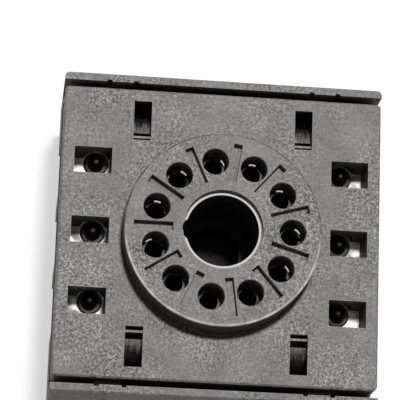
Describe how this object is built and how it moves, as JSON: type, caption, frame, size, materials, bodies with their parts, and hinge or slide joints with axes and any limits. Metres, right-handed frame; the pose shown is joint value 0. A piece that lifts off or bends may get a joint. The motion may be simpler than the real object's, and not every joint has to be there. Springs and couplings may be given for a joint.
{
  "type": "relay socket",
  "caption": "Square plug-in relay socket: a raised disc with a ring of pin holes and a keyed centre bore, and captive clamp screw terminals on the rear.",
  "frame": {"origin": "centre of the rear face of the inner terminal tier, on the surface it rests on", "axes": "+Z out of the plug-in face along the guide bore; the keyway points to -X; +Y is the top edge of the face"},
  "size_m": [0.0446, 0.045, 0.03],
  "materials": {
    "housing_plastic": "fine matte moulded",
    "terminal_metal": "tin plated",
    "contact_metal": "plated spring bronze",
    "screw_metal": "zinc plated",
    "clamp_metal": "zinc plated"
  },
  "bodies": {
    "socket": {"front_cover": "housing_plastic", "base_housing": "housing_plastic", "terminal_1": "terminal_metal", "terminal_2": "terminal_metal", "terminal_3": "terminal_metal", "terminal_4": "terminal_metal", "terminal_5": "terminal_metal", "terminal_6": "terminal_metal", "terminal_7": "terminal_metal", "terminal_8": "terminal_metal", "terminal_9": "terminal_metal", "terminal_10": "terminal_metal", "terminal_11": "terminal_metal", "pin_contact_1": "contact_metal", "pin_contact_2": "contact_metal", "pin_contact_3": "contact_metal", "pin_contact_4": "contact_metal", "pin_contact_5": "contact_metal", "pin_contact_6": "contact_metal", "pin_contact_7": "contact_metal", "pin_contact_8": "contact_metal", "pin_contact_9": "contact_metal", "pin_contact_10": "contact_metal", "pin_contact_11": "contact_metal"},
    "clamp_1": {"clamp_1": "clamp_metal"},
    "screw_1": {"screw_1": "screw_metal"},
    "clamp_2": {"clamp_2": "clamp_metal"},
    "screw_2": {"screw_2": "screw_metal"},
    "clamp_3": {"clamp_3": "clamp_metal"},
    "screw_3": {"screw_3": "screw_metal"},
    "clamp_4": {"clamp_4": "clamp_metal"},
    "screw_4": {"screw_4": "screw_metal"},
    "clamp_5": {"clamp_5": "clamp_metal"},
    "screw_5": {"screw_5": "screw_metal"},
    "clamp_6": {"clamp_6": "clamp_metal"},
    "screw_6": {"screw_6": "screw_metal"},
    "clamp_7": {"clamp_7": "clamp_metal"},
    "screw_7": {"screw_7": "screw_metal"},
    "clamp_8": {"clamp_8": "clamp_metal"},
    "screw_8": {"screw_8": "screw_metal"},
    "clamp_9": {"clamp_9": "clamp_metal"},
    "screw_9": {"screw_9": "screw_metal"},
    "clamp_10": {"clamp_10": "clamp_metal"},
    "screw_10": {"screw_10": "screw_metal"},
    "clamp_11": {"clamp_11": "clamp_metal"},
    "screw_11": {"screw_11": "screw_metal"}
  },
  "joints": [
    {"name": "clamp_1_slide", "type": "slide", "parent": "socket", "child": "clamp_1", "axis": [0, 0, 1], "range_m": [0, 0.0021]},
    {"name": "screw_1_turn", "type": "hinge", "parent": "clamp_1", "child": "screw_1", "pos_m": [-0.0065, 0.001, 0.0046], "axis": [0, 0, 1], "range_deg": [0, 1260]},
    {"name": "clamp_2_slide", "type": "slide", "parent": "socket", "child": "clamp_2", "axis": [0, 0, 1], "range_m": [0, 0.0021]},
    {"name": "screw_2_turn", "type": "hinge", "parent": "clamp_2", "child": "screw_2", "pos_m": [-0.0173, 0.01092, 0.0152], "axis": [0, 0, 1], "range_deg": [0, 1260]},
    {"name": "clamp_3_slide", "type": "slide", "parent": "socket", "child": "clamp_3", "axis": [0, 0, 1], "range_m": [0, 0.0021]},
    {"name": "screw_3_turn", "type": "hinge", "parent": "clamp_3", "child": "screw_3", "pos_m": [-0.0065, 0.01092, 0.0046], "axis": [0, 0, 1], "range_deg": [0, 1260]},
    {"name": "clamp_4_slide", "type": "slide", "parent": "socket", "child": "clamp_4", "axis": [0, 0, 1], "range_m": [0, 0.0021]},
    {"name": "screw_4_turn", "type": "hinge", "parent": "clamp_4", "child": "screw_4", "pos_m": [0.0065, 0.01092, 0.0046], "axis": [0, 0, 1], "range_deg": [0, 1260]},
    {"name": "clamp_5_slide", "type": "slide", "parent": "socket", "child": "clamp_5", "axis": [0, 0, 1], "range_m": [0, 0.0021]},
    {"name": "screw_5_turn", "type": "hinge", "parent": "clamp_5", "child": "screw_5", "pos_m": [0.0173, 0.01092, 0.0152], "axis": [0, 0, 1], "range_deg": [0, 1260]},
    {"name": "clamp_6_slide", "type": "slide", "parent": "socket", "child": "clamp_6", "axis": [0, 0, 1], "range_m": [0, 0.0021]},
    {"name": "screw_6_turn", "type": "hinge", "parent": "clamp_6", "child": "screw_6", "pos_m": [0.0173, 0.001, 0.0152], "axis": [0, 0, 1], "range_deg": [0, 1260]},
    {"name": "clamp_7_slide", "type": "slide", "parent": "socket", "child": "clamp_7", "axis": [0, 0, 1], "range_m": [0, 0.0021]},
    {"name": "screw_7_turn", "type": "hinge", "parent": "clamp_7", "child": "screw_7", "pos_m": [0.0173, -0.00892, 0.0152], "axis": [0, 0, 1], "range_deg": [0, 1260]},
    {"name": "clamp_8_slide", "type": "slide", "parent": "socket", "child": "clamp_8", "axis": [0, 0, 1], "range_m": [0, 0.0021]},
    {"name": "screw_8_turn", "type": "hinge", "parent": "clamp_8", "child": "screw_8", "pos_m": [0.0065, -0.00892, 0.0046], "axis": [0, 0, 1], "range_deg": [0, 1260]},
    {"name": "clamp_9_slide", "type": "slide", "parent": "socket", "child": "clamp_9", "axis": [0, 0, 1], "range_m": [0, 0.0021]},
    {"name": "screw_9_turn", "type": "hinge", "parent": "clamp_9", "child": "screw_9", "pos_m": [-0.0065, -0.00892, 0.0046], "axis": [0, 0, 1], "range_deg": [0, 1260]},
    {"name": "clamp_10_slide", "type": "slide", "parent": "socket", "child": "clamp_10", "axis": [0, 0, 1], "range_m": [0, 0.0021]},
    {"name": "screw_10_turn", "type": "hinge", "parent": "clamp_10", "child": "screw_10", "pos_m": [-0.0173, -0.00892, 0.0152], "axis": [0, 0, 1], "range_deg": [0, 1260]},
    {"name": "clamp_11_slide", "type": "slide", "parent": "socket", "child": "clamp_11", "axis": [0, 0, 1], "range_m": [0, 0.0021]},
    {"name": "screw_11_turn", "type": "hinge", "parent": "clamp_11", "child": "screw_11", "pos_m": [-0.0173, 0.001, 0.0152], "axis": [0, 0, 1], "range_deg": [0, 1260]}
  ],
  "couplings": [
    {"joint": "screw_1_turn", "follows": "clamp_1_slide", "rad_per_m": 10472},
    {"joint": "screw_2_turn", "follows": "clamp_2_slide", "rad_per_m": 10472},
    {"joint": "screw_3_turn", "follows": "clamp_3_slide", "rad_per_m": 10472},
    {"joint": "screw_4_turn", "follows": "clamp_4_slide", "rad_per_m": 10472},
    {"joint": "screw_5_turn", "follows": "clamp_5_slide", "rad_per_m": 10472},
    {"joint": "screw_6_turn", "follows": "clamp_6_slide", "rad_per_m": 10472},
    {"joint": "screw_7_turn", "follows": "clamp_7_slide", "rad_per_m": 10472},
    {"joint": "screw_8_turn", "follows": "clamp_8_slide", "rad_per_m": 10472},
    {"joint": "screw_9_turn", "follows": "clamp_9_slide", "rad_per_m": 10472},
    {"joint": "screw_10_turn", "follows": "clamp_10_slide", "rad_per_m": 10472},
    {"joint": "screw_11_turn", "follows": "clamp_11_slide", "rad_per_m": 10472}
  ]
}
